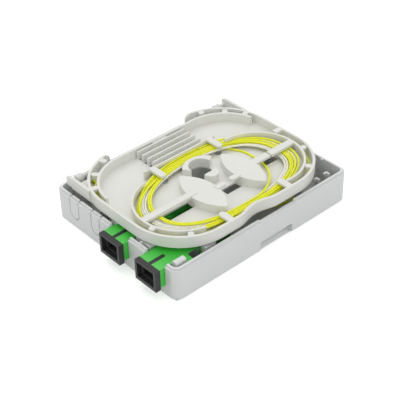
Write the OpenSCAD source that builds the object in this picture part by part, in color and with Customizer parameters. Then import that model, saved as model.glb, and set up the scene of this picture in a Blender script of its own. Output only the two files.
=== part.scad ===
// Fibre wall box without its cover: a shallow base with two snap-in adapters in one
// end wall, a hinged splice tray that swings up over them, and the stored pigtails.
// Millimetres. The origin is the centre of the rear face, +Z points away from the wall
// and the two ports face -Y.

/* [Base] */
// Outer width across the hinge side and the opposite side
base_w = 83; // [78:0.5:90]
// Outer length from the port wall to the far wall
base_l = 105; // [100:0.5:112]
// Height of the shoulder that the cover rests on
ledge_h = 15.4; // [14.8:0.1:16.2]
// Thickness of the side walls
wall_t = 2; // [1.6:0.1:2.4]
// Thickness of the floor
floor_t = 2; // [1.6:0.1:2.6]
// Outer corner radius in plan
corner_r = 4.2; // [3.4:0.1:6]
// Radius of the edge between the walls and the rear face
foot_r = 0.8; // [0.4:0.1:1.2]
// Height of the locating lip above the shoulder
lip_h = 0.9; // [0.7:0.1:1.3]
// Distance of the lip from the outer face
lip_inset = 0.9; // [0.6:0.05:1.1]

/* [Wall fixing] */
// Distance between the two wall screws
screw_spacing = 60; // [50:1:64]
// Diameter of the screw holes
screw_hole_d = 4.2; // [3.5:0.1:5]
// Diameter of the countersink on the inside
screw_head_d = 7.6; // [6.5:0.1:9]
// Width and length of the cable entry in the floor
rear_entry = [15, 18]; // [12:1:18]
// Length of the cable notch at the foot of one side wall
side_notch_l = 19.8; // [16:0.2:24]
// Height of that notch
side_notch_h = 5; // [4:0.1:6]
// Depth of that notch
side_notch_d = 3.6; // [3:0.1:4.4]

/* [Ports] */
// Gap between the flanges of the two adapters
port_gap = 1.9; // [1.4:0.1:2.6]
// Gap between the flange of the outer adapter and the side wall
port_wall_gap = 0.2; // [0.1:0.05:0.6]
// Width and height of an adapter body
adapter_w = 12.8; // [12.6:0.05:13]
// Height of an adapter body
adapter_h = 9.3; // [9.2:0.05:9.5]
// Length of an adapter body
adapter_l = 27.6; // [26:0.1:29]
// How far an adapter stands out of the port wall
adapter_proud = 2.6; // [1.8:0.1:3]
// Gap between the floor and the underside of an adapter
adapter_lift = 3.55; // [3:0.05:4]
// Width of an adapter's flange
flange_w = 22; // [20.5:0.1:22.6]
// Thickness of an adapter's flange
flange_t = 3.3; // [2:0.1:3.6]
// Width of the key slot in an adapter's top
key_w = 2; // [1.8:0.05:2.2]
// Length of that slot from the front face
key_l = 8.2; // [7:0.1:9]

/* [Splice tray] */
// Height of the tray from its underside to its rim
tray_h = 5.5; // [5.2:0.1:6.2]
// Thickness of the tray floor
tray_floor_t = 1; // [0.8:0.05:1.2]
// Thickness of the tray's outer wall
tray_wall_t = 1.3; // [1:0.05:1.5]
// Corner radius of the rim on the free side
rim_r = 26.2; // [24:0.1:27.5]
// Radius of the two ears on the hinge side
ear_r = 27.5; // [27:0.1:28]
// Gap between the tray rim and the side wall
tray_side_gap = 1.1; // [0.8:0.05:1.6]
// Gap between the tray rim and the end walls
tray_end_gap = 1.2; // [0.9:0.05:1.6]
// Width of the outer fibre channel round the coil
channel_w = 2.9; // [2.2:0.05:3.2]
// Number of fins in the splice comb
comb_fins = 4; // [3:1:4]
// Distance between two fins of the comb
comb_pitch = 3.75; // [3.4:0.05:3.8]
// Length of the fins
comb_l = 29; // [26:0.5:33]

/* [Hinge] */
// Distance of the hinge line from the outer face of the base
hinge_inset = 4.7; // [4.5:0.05:5]
// Diameter of the hinge pins
pin_d = 2.4; // [2.2:0.05:2.6]
// Radial clearance of the pins in their snaps
pin_clear = 0.05; // [0.03:0.01:0.08]
// Distance of the snaps from the middle of the base
snap_y = 42.5; // [41.8:0.1:43]
// Thickness of a snap
snap_t = 3.4; // [3:0.1:3.8]

/* [Pigtails] */
// Diameter of the buffered fibre
fibre_d = 0.9; // [0.8:0.02:0.94]
// Turns of the yellow pigtail in the tray
yellow_turns = 3; // [2:1:3]
// Turns of the pale fibre in the tray
pale_turns = 3; // [2:1:3]

/* [Hidden] */
$fn = 48;

// Colours
base_white = "#dfe1e2";
tray_white = "#e4e4df";
apc_green = "#3fb83c";
cap_black = "#26272a";
steel_grey = "#a3a5a8";
ceramic_white = "#f1eee6";
fibre_yellow = "#dede12";
fibre_pale = "#e9e7cf";

// One overrun for every cut
cut = 1;

// Base, worked out from the driving sizes
half_w = base_w / 2;
half_l = base_l / 2;
inner_x = half_w - wall_t;
inner_y = half_l - wall_t;
lip_top = ledge_h + lip_h;

// Ports
port_outer_x = inner_x - port_wall_gap - flange_w / 2;
port_x = [port_outer_x - port_gap - flange_w, port_outer_x];
port_mid_x = (port_x[0] + port_x[1]) / 2;
port_fit = 0.2;
adapter_front = -half_l - adapter_proud;
adapter_rear = adapter_front + adapter_l;
adapter_z = floor_t + adapter_lift;
adapter_top = adapter_z + adapter_h;
port_z = adapter_z + adapter_h / 2;
bay_w = 9.4;
bay_h = 7.8;
flange_inset = 9.4;
flange_front = -half_l + flange_inset;
flange_back = flange_front + flange_t;
flange_play = 0.2;
stop_t = 2.6;
clip_hook = 0.7;
rear_key_l = 11;
recess_d = 0.6;
recess_l = 6.2;
recess_gap = 0.4;
spring_t = 0.4;
seat_rib_t = 1.2;

// Tray, worked out from the base
tray_lift = 0.5;
tray_z = lip_top + tray_lift;
tray_top = tray_z + tray_h;
tray_floor = tray_z + tray_floor_t;
tray_x = inner_x - tray_side_gap;
tray_y = inner_y - tray_end_gap;
rim_c = [tray_x - rim_r, tray_y - rim_r];
hinge_x = -half_w + hinge_inset;
pin_lift = 0.5;
hinge_z = tray_floor + pin_lift;
ear_out = 2.1;
ear_len = 25.8;
ear_end_y = tray_y - ear_len;
ear_c = [hinge_x - ear_out + sqrt(pow(ear_r, 2) - pow(ear_r - ear_len, 2)), tray_y - ear_r];
pocket_gap = 3.8;
pocket_x = hinge_x + pocket_gap;
pocket_r = 23.5;
end_channel = 2.8;
pocket_c = [pocket_x + pocket_r, tray_y - end_channel - pocket_r];
// How far before its centre the pocket wall ends, at the near and the far side
pocket_short = [1.5, 5.3];
arm_t = 1.5;
arm_inset = 0.8;
arm_out = tray_y - arm_inset;
arm_tip = 0.7;
arm_round = 1.6;
arm_drop = 0.6;
rib_t = 1.1;
fin_t = 0.8;
arc_r = rim_r - tray_wall_t - channel_w;
comb_gap = 1.15;
comb_x = pocket_x + tray_wall_t + comb_gap;
guide_gap_x = 0.15;
guide_x = comb_x + comb_pitch * comb_fins + guide_gap_x;
ear_round = 3.2;
tab_w = 3.3;
tab_t = 1.1;
small_tab_w = 2.7;
dip_c = -1.8;
dip_half = 12;
dip_d = 2.2;
dip_steps = 24;
post_gap = 0.3;
post_top = tray_z - post_gap;

// Plugs
grip_w = 9;
grip_h = 7.4;
grip_l = 24;
grip_gap = 2.3;
grip_front = flange_front + flange_t + grip_gap;
grip_end = grip_front + grip_l;
core_w = 7.2;
core_h = 5.6;
core_lead = 1.2;
core_l = 21;
core_nose = 6;
ferrule_d = 2.5;
ferrule_l = 12.5;
ferrule_collar_d = 4.2;
sleeve_wall = 0.36;
sleeve_l = 11.4;
contact_y = adapter_front + adapter_l / 2;
collar_l = 2.4;
collar_in = 1;
collar_front = contact_y + ferrule_l - collar_in;
boot_d = [4.4, 1.7];
boot_l = 19;
boot_in = 2.4;
boot_collar = 1;
boot_rings = 6;
ring_pitch = 2;
ring_w = 0.8;
ring_d = 0.25;
fit = 0.1;

// Caps
cap_w = 13.3;
cap_h = 10.3;
cap_t = 2.7;
cap_mouth = [10.6, 7.6];
cap_rim_depth = 2.2;
cap_plug = [9.1, 7.5];
cap_bore = [7.4, 5.6];
cap_plug_l = 7.2;
cap_bore_depth = 7;
cap_key_in = 1;

// Small shapes

module rounded_rect(w, l, r) {
    square([w, l - 2 * r], center = true);
    square([w - 2 * r, l], center = true);
    for (sx = [-1, 1], sy = [-1, 1])
        translate([sx * (w / 2 - r), sy * (l / 2 - r)]) circle(r);
}

// A bar along X, from x0 to x1, with its profile drawn in Y and Z
module along_x(x0, x1) {
    translate([x0, 0, 0]) rotate([90, 0, 90]) linear_extrude(x1 - x0) children();
}

// A bar along Y, from y0 to y1, with its profile drawn in X and Z
module along_y(y0, y1) {
    translate([0, y1, 0]) rotate([90, 0, 0]) linear_extrude(y1 - y0) children();
}

// A box given by its low and high corners
module block(low, high) {
    translate(low) cube(high - low);
}

// One side of a profile whose lower corners are rounded by r
module footed_profile(w, h, r) {
    translate([-w / 2, r]) square([w, h - r]);
    translate([-w / 2 + r, 0]) square([w - 2 * r, h]);
    for (s = [-1, 1]) translate([s * (w / 2 - r), r]) circle(r);
}

// A box with rounded corners in plan and a rounded foot
module footed_block(w, l, r, f, h) {
    along_y(-l / 2 + r, l / 2 - r) footed_profile(w, h, f);
    along_x(-w / 2 + r, w / 2 - r) footed_profile(l, h, f);
    for (sx = [-1, 1], sy = [-1, 1])
        translate([sx * (w / 2 - r), sy * (l / 2 - r), 0])
            rotate_extrude() intersection() {
                footed_profile(2 * r, h, f);
                square([r, h]);
            }
}

// Part of a round wall in plan, between two angles
module arc_wall(centre, r_out, t, a0, a1, z0, z1) {
    translate([centre[0], centre[1], z0]) rotate([0, 0, a0])
        rotate_extrude(angle = a1 - a0) translate([r_out - t, 0]) square([t, z1 - z0]);
}

// A lens in plan: the overlap of two circles
module lens(half_length, half_width) {
    r = (pow(half_length, 2) + pow(half_width, 2)) / (2 * half_width);
    intersection() {
        translate([0, half_width - r]) circle(r, $fn = 96);
        translate([0, r - half_width]) circle(r, $fn = 96);
    }
}

// A tab with one round end in plan, from the origin along +X
module tab_shape(length, width) {
    translate([0, -width / 2]) square([length - width / 2, width]);
    translate([length - width / 2, 0]) circle(width / 2);
}

module tab_at(x, y, angle, length, width) {
    translate([x, y, tray_top - tab_t]) rotate([0, 0, angle])
        linear_extrude(tab_t) tab_shape(length, width);
}

// Swept tubes

function unit(v) = v / norm(v);
function lateral(t) = unit(cross([0, 0, 1], t));
function tangent_at(p, i) =
    let (n = len(p)) unit(p[min(i + 1, n - 1)] - p[max(i - 1, 0)]);
function ring_at(p, i, r, sides) =
    let (t = tangent_at(p, i), a = lateral(t), b = cross(t, a))
    [for (k = [0 : sides - 1]) p[i] + r * (cos(360 * k / sides) * a + sin(360 * k / sides) * b)];

module tube(p, r, sides = 8) {
    n = len(p);
    rings = [for (i = [0 : n - 1]) for (q = ring_at(p, i, r, sides)) q];
    walls = [for (i = [0 : n - 2]) for (k = [0 : sides - 1])
        let (a = i * sides + k, b = i * sides + (k + 1) % sides)
        [a + sides, b + sides, b, a]];
    start = [for (k = [0 : sides - 1]) k];
    end = [for (k = [sides - 1 : -1 : 0]) (n - 1) * sides + k];
    polyhedron(points = rings, faces = concat(walls, [start], [end]));
}

// Base

module base_walls() {
    difference() {
        footed_block(base_w, base_l, corner_r, foot_r, ledge_h);
        translate([0, 0, floor_t]) linear_extrude(ledge_h)
            rounded_rect(2 * inner_x, 2 * inner_y, corner_r - wall_t);
    }
    translate([0, 0, floor_t]) linear_extrude(lip_top - floor_t) difference() {
        rounded_rect(base_w - 2 * lip_inset, base_l - 2 * lip_inset, corner_r - lip_inset);
        rounded_rect(2 * inner_x, 2 * inner_y, corner_r - wall_t);
    }
}

side_notch_share = 0.118;
side_notch_y = side_notch_share * half_l;
hood_t = 1.6;

// The floor steps up over the cable notch in the side wall
module notch_hood() {
    block([half_w - side_notch_d - hood_t, side_notch_y - side_notch_l / 2 - hood_t, 0],
        [half_w - lip_inset, side_notch_y + side_notch_l / 2 + hood_t, side_notch_h + hood_t]);
}

notch_round = 1.5;

module notch_cut() {
    along_x(half_w - side_notch_d, half_w + cut) {
        translate([side_notch_y - side_notch_l / 2, -cut]) square([side_notch_l, side_notch_h - notch_round + cut]);
        for (s = [-1, 1])
            translate([side_notch_y + s * (side_notch_l / 2 - notch_round), side_notch_h - notch_round]) circle(notch_round);
        translate([side_notch_y - side_notch_l / 2 + notch_round, -cut])
            square([side_notch_l - 2 * notch_round, side_notch_h + cut]);
    }
}

// The lip is cut away over the finger dip of the tray and at one place of the far wall
lip_gap_shares = [-0.065, 0.341];
far_lip_gap_share = 0.645;
far_lip_gap_w = 1.9;
mid_gap = 1.2;
mid_block_x = [port_x[0] + adapter_w / 2 + mid_gap, port_x[1] - adapter_w / 2 - mid_gap];
clip_inset = 3.6;
clip_front = -half_l + clip_inset;
clip_w = 3;
clip_gap = 0.3;
clip_rise = 1.6;
clip_top = ledge_h + clip_rise;
block_rise = 0.3;
block_top = ledge_h + block_rise;
guide_gap = 0.3;
guide_reach = [5, 1];

// A post with a rounded top and a small hook that holds an adapter down
module clip_post(x, side, top) {
    hook_z = adapter_top + fit / 2;
    along_y(clip_front, flange_front - flange_play) {
        translate([min(x, x + side * clip_w), floor_t]) square([clip_w, top - floor_t - clip_w / 3]);
        translate([x + side * clip_w / 2, top - clip_w / 2]) square([clip_w / 3, clip_w], center = true);
        for (s = [-1, 1]) translate([x + side * clip_w / 2 + s * clip_w / 6, top - clip_w / 3]) circle(clip_w / 3);
        polygon([[x, hook_z], [x - side * (clip_hook + clip_gap), hook_z],
            [x, min(top - fit, hook_z + clip_hook)],
            [x + side * clip_w / 2, min(top - fit, hook_z + clip_hook)], [x + side * clip_w / 2, hook_z]]);
    }
}

module port_details() {
    // ribs that the adapters sit on
    for (x = port_x) {
        for (y = [-inner_y, adapter_rear - 3 * seat_rib_t])
            block([x - adapter_w / 2, y, 0], [x + adapter_w / 2, y + seat_rib_t, adapter_z]);
    }
    // clip posts in front of the flanges
    clip_post(port_x[1] + adapter_w / 2 + clip_gap, 1, clip_top);
    clip_post(port_x[0] - adapter_w / 2 - clip_gap, -1, block_top);
    // block between the two adapters, with the rib that ties it to the wall
    block([mid_block_x[0], clip_front, 0], [mid_block_x[1], flange_front - flange_play, block_top]);
    block([port_mid_x - seat_rib_t / 3, -inner_y - lip_inset / 3, 0], [port_mid_x + seat_rib_t / 3, clip_front, lip_top]);
    // stops behind the flanges
    stop_y = flange_back + flange_play;
    for (x = [port_x[0] - adapter_w / 2 - clip_gap - clip_w, port_x[1] + adapter_w / 2 + clip_gap])
        block([x, stop_y, 0], [x + clip_w, stop_y + stop_t / 2, adapter_z]);
    block([mid_block_x[0], stop_y, 0], [mid_block_x[1], stop_y + stop_t, adapter_top]);
    // side guide at the rear of the outer adapter, which also carries the tray
    x1 = port_x[1] + adapter_w / 2 + guide_gap;
    block([x1, adapter_rear - guide_reach[0], 0], [x1 + stop_t, adapter_rear + guide_reach[1], block_top]);
}

snap_wall = 0.75;

module hinge_snap(s) {
    y0 = s * snap_y - snap_t / 2;
    r = pin_d / 2 + pin_clear + snap_wall;
    along_y(y0, y0 + snap_t) {
        translate([hinge_x, hinge_z]) circle(r);
        translate([hinge_x - r, 0]) square([2 * r, hinge_z]);
        polygon([[hinge_x + r, 0], [hinge_x + 4 * r, 0], [hinge_x + r, hinge_z - 2 * r]]);
    }
}

module hinge_cuts(s) {
    y0 = s * snap_y - snap_t / 2;
    translate([hinge_x, y0 + snap_t + cut, hinge_z]) rotate([90, 0, 0])
        cylinder(r = pin_d / 2 + pin_clear, h = snap_t + 2 * cut);
    block([hinge_x - pin_d * 2, y0 - cut, hinge_z - pin_d * 0.4],
        [hinge_x, y0 + snap_t + cut, hinge_z + pin_d * 0.4]);
}

// The hinge side wall is lower where the ears swing down past it
relief_gap = 1.5;
relief_y = [ear_end_y - relief_gap, snap_y - snap_t / 2 - relief_gap];
relief_drop = 1;
relief_h = ledge_h - relief_drop;
score_w = 0.5;
score_d = 0.6;
// Distance of each break-out from the hinge side, and its width
knockouts = [[14, 6.4], [29.4, 6.1]];
knockout_z = 5.2;

// Outline of a break-out, drawn in X and Z: straight legs and a round foot
module knockout_shape(w, grow) {
    r = w / 2 + grow;
    translate([0, knockout_z + w / 2]) circle(r);
    translate([-r, knockout_z + w / 2]) square([2 * r, lip_top]);
}

module knockout_score(x, w) {
    translate([x, 0, 0]) {
        along_y(-half_l - cut, -half_l + score_d) difference() {
            knockout_shape(w, score_w / 2);
            knockout_shape(w, -score_w / 2);
        }
        for (s = [-1, 1]) translate([s * w / 2 - score_w, 0, 0])
            block([0, -half_l - cut, ledge_h], [2 * score_w, -inner_y + cut, lip_top + cut]);
    }
}

// Places given as shares of the half inner width and length
tray_post_shares = [[0.848, 0.564], [-0.101, 0.921], [-0.557, -0.802]];
hook_shares = [[0.851, 0.895], [0.851, 0.764]];
post_d = 4;
hook_size = [2.4, 1, 14.5];
hook_nose = [0.9, 1.2, 1.2];

function spot(shares, size) = [shares[0] * size[0], shares[1] * size[1]];

module inner_posts() {
    // round posts that stop the tray
    for (shares = tray_post_shares) translate(spot(shares, [inner_x, inner_y])) cylinder(d = post_d, h = post_top);
    // two cable hooks by the far corner
    for (shares = hook_shares) {
        p = spot(shares, [inner_x, inner_y]);
        block([p[0], p[1], 0], [p[0] + hook_size[0], p[1] + hook_size[1], hook_size[2]]);
        block([p[0], p[1] - hook_nose[1], hook_size[2] - hook_nose[2]], [p[0] + hook_nose[0], p[1], hook_size[2]]);
    }
}

module screw_hole(y) {
    translate([0, y, -cut]) cylinder(d = screw_hole_d, h = floor_t + 2 * cut);
    translate([0, y, floor_t / 2]) cylinder(d = screw_head_d, h = floor_t);
}

rear_entry_share = -0.506;
rear_entry_x = rear_entry_share * half_w;
rear_entry_round = 3;

module base_shell() {
    color(base_white) difference() {
        union() {
            base_walls();
            notch_hood();
            port_details();
            inner_posts();
            for (s = [-1, 1]) hinge_snap(s);
        }
        for (x = port_x)
            block([x - adapter_w / 2 - port_fit, -half_l - cut, adapter_z], [x + adapter_w / 2 + port_fit, -inner_y + fit, lip_top + cut]);
        notch_cut();
        block([inner_x - fit, lip_gap_shares[0] * half_l, ledge_h], [half_w + cut, lip_gap_shares[1] * half_l, lip_top + cut]);
        block([far_lip_gap_share * half_w - far_lip_gap_w / 2, inner_y - fit, ledge_h],
            [far_lip_gap_share * half_w + far_lip_gap_w / 2, half_l + cut, lip_top + cut]);
        for (s = [-1, 1]) {
            hinge_cuts(s);
            block([-half_w - cut, min(s * relief_y[0], s * relief_y[1]), relief_h],
                [-inner_x + fit, max(s * relief_y[0], s * relief_y[1]), lip_top + cut]);
            screw_hole(s * screw_spacing / 2);
        }
        for (k = knockouts) knockout_score(k[0] - half_w, k[1]);
        translate([rear_entry_x, 0, -cut]) linear_extrude(floor_t + 2 * cut)
            rounded_rect(rear_entry[0], rear_entry[1], rear_entry_round);
    }
}

// Splice tray

// Edge of the rim on the free side, with the shallow finger dip
function dip(y) = abs(y - dip_c) < dip_half ? dip_d / 2 * (1 + cos(180 * (y - dip_c) / dip_half)) : 0;

module free_side(inset) {
    ys = [for (i = [0 : dip_steps]) -rim_c[1] + 2 * rim_c[1] * i / dip_steps];
    polygon(concat([[ear_c[0], -rim_c[1]]],
        [for (y = ys) [tray_x - inset - dip(y), y]],
        [[ear_c[0], rim_c[1]]]));
}

// Plan of the tray, drawn in by inset
module tray_plan(inset) {
    free_side(inset);
    for (s = [-1, 1]) {
        translate([rim_c[0], s * rim_c[1]]) circle(rim_r - inset, $fn = 96);
        translate([ear_c[0], s * ear_c[1]]) circle(ear_r - inset, $fn = 96);
    }
    square_x = [ear_c[0], rim_c[0]];
    translate([square_x[0], -tray_y + inset]) square([square_x[1] - square_x[0], 2 * (tray_y - inset)]);
    translate([pocket_x + tray_wall_t, -pocket_c[1]]) square([ear_c[0] - pocket_x, 2 * pocket_c[1]]);
}

// The part of the plan left of the pocket wall that the ears leave open
module between_ears() {
    translate([-base_w, -ear_end_y]) square([base_w + pocket_x, 2 * ear_end_y]);
}

module tray_floor_plate() {
    translate([0, 0, tray_z]) linear_extrude(tray_floor_t) difference() {
        tray_plan(0);
        between_ears();
    }
}

module outer_wall() {
    translate([0, 0, tray_z]) linear_extrude(tray_h) difference() {
        tray_plan(0);
        tray_plan(tray_wall_t);
        translate([-base_w, -ear_end_y]) square([base_w + ear_c[0], 2 * ear_end_y]);
    }
}

// Plan of the splice pocket, drawn in by inset
module pocket_plan(inset) {
    for (s = [-1, 1]) translate([pocket_c[0], s * pocket_c[1]]) circle(pocket_r - inset, $fn = 96);
    translate([pocket_x + inset, -pocket_c[1]]) square([pocket_r, 2 * pocket_c[1]]);
}

module pocket_wall() {
    translate([0, 0, tray_z]) linear_extrude(tray_h) difference() {
        pocket_plan(0);
        pocket_plan(tray_wall_t);
        translate([pocket_c[0] - pocket_short[0], -base_l]) square([base_w, base_l]);
        translate([pocket_c[0] - pocket_short[1], 0]) square([base_w, base_l]);
    }
}

pin_in = 8.3;
web_gap = 3.2;

module hinge_arm(s) {
    y0 = s > 0 ? arm_out - arm_t : -arm_out;
    x0 = hinge_x - arm_tip;
    along_y(y0, y0 + arm_t) {
        translate([x0, tray_z + arm_drop]) square([ear_c[0] - x0 - ear_r / 3, tray_h - arm_drop - arm_round]);
        translate([x0 + arm_round, tray_z + arm_drop]) square([ear_c[0] - x0 - ear_r / 3 - arm_round, tray_h - arm_drop]);
        translate([x0 + arm_round, tray_top - arm_round]) circle(arm_round);
    }
    // pin from the arm into the ear
    pin_root = snap_y - snap_t / 2 - pin_in;
    translate([hinge_x, s > 0 ? arm_out - arm_t / 2 : -pin_root, hinge_z]) rotate([90, 0, 0])
        cylinder(d = pin_d, h = arm_out - arm_t / 2 - pin_root);
    // web between the arm and the ear
    translate([hinge_x + web_gap, s > 0 ? ear_c[1] : -arm_out, tray_z])
        cube([ear_c[0] - hinge_x - web_gap, arm_out - ear_c[1], tray_floor_t]);
}

// Where the two arcs that hold the coil start and end, near and far
arc_angles = [[189, 347], [-9, 181]];

module coil_arcs() {
    for (i = [0, 1])
        arc_wall([rim_c[0], (2 * i - 1) * rim_c[1]], arc_r, rib_t, arc_angles[i][0], arc_angles[i][1], tray_z, tray_top);
}

comb_share = 0.03;
comb_y = comb_share * tray_y;
comb_drop = 0.8;
bump_drop = 1.1;
guide_drop = 0.3;
guide_short = 1.6;
guide_half = rim_c[1] - guide_short;
comb_tie = [4.4, 4];

module comb() {
    for (i = [0 : comb_fins - 1]) {
        x = comb_x + i * comb_pitch;
        block([x - fin_t / 2, comb_y - comb_l / 2, tray_z], [x + fin_t / 2, comb_y + comb_l / 2, tray_top - comb_drop]);
        for (t = [-1, 1])
            translate([x, comb_y + t * comb_l / 4, tray_z]) cylinder(d = fin_t * 1.8, h = tray_top - bump_drop - tray_z);
    }
    // filled link between the pocket wall and the first fin
    block([pocket_x + tray_wall_t / 2, comb_y - comb_tie[0], tray_z], [comb_x, comb_y + comb_tie[1], tray_top - comb_drop]);
    block([guide_x - fin_t / 2, -guide_half, tray_z], [guide_x + fin_t / 2, guide_half, tray_top - guide_drop]);
}

module comb_holes() {
    for (i = [0 : comb_fins - 2])
        block([comb_x + i * comb_pitch + fin_t, comb_y - comb_l / 2, tray_z - cut],
            [comb_x + (i + 1) * comb_pitch - fin_t, comb_y - comb_l / 2 + comb_pitch * 0.8, tray_floor + cut]);
}

// Centres as shares of the half tray, then half the length and half the width
lens_up_shares = [0.328, 0.272];
lens_low_shares = [0.349, -0.237];
lens_up_half = [14.6, 6.5];
lens_low_half = [15.6, 6.8];
lens_up = concat(spot(lens_up_shares, [tray_x, tray_y]), lens_up_half);
lens_low = concat(spot(lens_low_shares, [tray_x, tray_y]), lens_low_half);
lens_top = 0.3;
shell_t = 1.3;

module lens_island(p) {
    translate([p[0], p[1], tray_z]) linear_extrude(tray_h - lens_top) lens(p[2], p[3]);
}

module lens_hollow(p) {
    translate([p[0], p[1], tray_z - cut]) linear_extrude(tray_h - lens_top - shell_t + cut)
        lens(p[2] - 2.5 * shell_t, p[3] - shell_t);
}

// The hub is a crescent beside a hole, with a rounded post across from it
hub_shares = [-0.047, 0.016];
hub_c = spot(hub_shares, [tray_x, tray_y]);
hub_r = [10.4, 5.7];
hub_shift = 2.9;
hub_drop = 0.6;
hub_hole_r = 5.4;
// Outline of the crescent's ends, as shares of its outer radius
hub_wedge_shares = [[0.01, -0.56], [-0.76, -1.02], [-1.2, -1.02], [-1.2, 1.08], [-0.41, 1.08], [-0.03, 0.54]];
post_shares = [0.128, 0.018];
post_c = spot(post_shares, [tray_x, tray_y]);
post_r = 3.6;
post_flat = 0.5;

module hub() {
    translate([hub_c[0], hub_c[1], tray_z]) linear_extrude(tray_h - hub_drop) difference() {
        intersection() {
            translate([hub_shift, 0]) circle(hub_r[0]);
            polygon([for (share = hub_wedge_shares) hub_r[0] * share]);
        }
        circle(hub_r[1]);
    }
    translate([post_c[0], post_c[1], tray_z]) linear_extrude(tray_h - hub_drop) difference() {
        circle(post_r);
        translate([-2 * post_r - post_flat, -2 * post_r]) square([2 * post_r, 4 * post_r]);
    }
}

// Bars over the coil: the places of their middles and of the step are shares of the half tray
bar_shares = [0.344, 0.303];
bar_w = [3.6, 3.3];
bar_split_share = 0.593;
bar_step = 0.4;
bar_joint = 0.25;
bar_in = 3;
bar_t = 1.3;

module bars() {
    z0 = tray_top - bar_t;
    up = [for (side = [-1, 1]) bar_shares[0] * tray_x + side * bar_w[0] / 2];
    low = [for (side = [-1, 1]) bar_shares[1] * tray_x + side * bar_w[1] / 2];
    split = bar_split_share * tray_y;
    block([up[0], split + bar_joint, z0], [up[1], rim_c[1] + arc_r - rib_t / 2, tray_top]);
    block([up[0] - bar_step, lens_up[1] + bar_in, z0 - bar_step / 2], [up[1] - bar_step, split - bar_joint, tray_top - lens_top]);
    block([low[0], -rim_c[1] - arc_r + rib_t / 2, z0], [low[1], lens_low[1] - bar_in, tray_top]);
}

left_tab_l = 9.3;
right_tab_l = 7.6;

// Places of the tabs on the guide rib and on the free wall, as shares of the half tray
left_tab_shares = [-0.341, 0.361];
right_tab_shares = [-0.345, 0.365];
facing_tab_shares = [0.401, 0.411];
facing_tab_l = [5.9, 5.7];
facing_in = 1.5;

module coil_tabs() {
    for (share = left_tab_shares) tab_at(guide_x - fin_t / 2, share * tray_y, 0, left_tab_l, tab_w);
    for (share = right_tab_shares) tab_at(tray_x - tray_wall_t / 2, share * tray_y, 180, right_tab_l, tab_w);
    // facing tabs under the lenses
    tab_at(facing_tab_shares[0] * tray_x, lens_up[1] - lens_up[3] + facing_in, -90, facing_tab_l[0], small_tab_w);
    tab_at(facing_tab_shares[1] * tray_x, lens_low[1] + lens_low[3] - facing_in, 90, facing_tab_l[1], small_tab_w);
}

// Tabs over the outer channel: centre, radius, angles on it, direction and lengths
module ring_tabs(c, r, angles, inward, lengths) {
    for (i = [0 : len(angles) - 1])
        translate([c[0], sign(angles[i]) * c[1], 0]) rotate([0, 0, angles[i]])
            tab_at(r, 0, inward ? 180 : 0, lengths[i], small_tab_w);
}

// Angle round the ear, the pocket, the rim or the arc of each tab, below zero on the near
// side, and how far it reaches
ear_tab_angles = [-162.5, -112, 159, 108];
ear_tab_l = [3.9, 3.6, 3.6, 3.6];
pocket_tab_angles = [-141.5, 137];
pocket_tab_l = [3.9, 3.4];
rim_tab_angles = [31, -32];
rim_tab_l = [3.6, 3.2];
arc_tab_angles = [69, -74];
arc_tab_l = [3, 3];
end_tab_shares = [0.018, 0.094];

module channel_tabs() {
    ear_in = ear_r - tray_wall_t / 2;
    pocket_out = pocket_r - tray_wall_t / 2;
    rim_in = rim_r - tray_wall_t / 2;
    arc_out = arc_r - rib_t / 2;
    ring_tabs(ear_c, ear_in, ear_tab_angles, true, ear_tab_l);
    ring_tabs(pocket_c, pocket_out, pocket_tab_angles, false, pocket_tab_l);
    ring_tabs(rim_c, rim_in, rim_tab_angles, true, rim_tab_l);
    ring_tabs(rim_c, arc_out, arc_tab_angles, false, arc_tab_l);
    // a square tab in the far channel, from the outer wall to the arc
    block([end_tab_shares[0] * tray_x, rim_c[1] + arc_r - rib_t, tray_top - tab_t],
        [end_tab_shares[1] * tray_x, tray_y - tray_wall_t / 2, tray_top]);
}

// Corners of the slots, and centres of the holes, as shares of the half tray
slot_shares = [[[0.266, 0.511], [0.385, 0.702]], [[0.271, -0.671], [0.398, -0.369]], [[0.37, -0.037], [0.484, 0.146]]];
floor_hole_shares = [[-0.214, 0.349], [-0.229, -0.325]];
floor_hole_d = [3.5, 5];
// The pigtails come up through a hole in the near ear's channel
pass_hole_angle = -142.8;
pass_hole_out = 2;
pass_hole_d = 3.2;

module floor_slots() {
    for (shares = slot_shares)
        block(concat(spot(shares[0], [tray_x, tray_y]), [tray_z - cut]), concat(spot(shares[1], [tray_x, tray_y]), [tray_floor + cut]));
    for (i = [0 : len(floor_hole_d) - 1])
        translate(concat(spot(floor_hole_shares[i], [tray_x, tray_y]), [tray_z - cut]))
            cylinder(d = floor_hole_d[i], h = tray_floor_t + 2 * cut);
    translate([pocket_c[0], -pocket_c[1], tray_z - cut]) rotate([0, 0, pass_hole_angle])
        translate([pocket_r + pass_hole_out, 0]) cylinder(d = pass_hole_d, h = tray_floor_t + 2 * cut);
    translate([hub_c[0], hub_c[1], tray_z - cut]) cylinder(r = hub_hole_r, h = tray_floor_t + 2 * cut);
}

// Rounds the upper corner at the free end of an ear
module ear_end_cut(s) {
    along_x(hinge_x - pin_d * 2, hinge_x + pin_d) difference() {
        translate([s > 0 ? ear_end_y - cut : -ear_end_y - ear_round, tray_top - ear_round])
            square([ear_round + cut, ear_round + cut]);
        translate([s * (ear_end_y + ear_round), tray_top - ear_round]) circle(ear_round);
    }
}

module splice_tray() {
    color(tray_white) difference() {
        union() {
            difference() {
                union() {
                    tray_floor_plate();
                    for (s = [-1, 1]) hinge_arm(s);
                }
                floor_slots();
                comb_holes();
            }
            outer_wall();
            pocket_wall();
            coil_arcs();
            comb();
            lens_island(lens_up);
            lens_island(lens_low);
            hub();
            bars();
            coil_tabs();
            channel_tabs();
        }
        lens_hollow(lens_up);
        lens_hollow(lens_low);
        for (s = [-1, 1]) ear_end_cut(s);
    }
}

// Adapters

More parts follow.
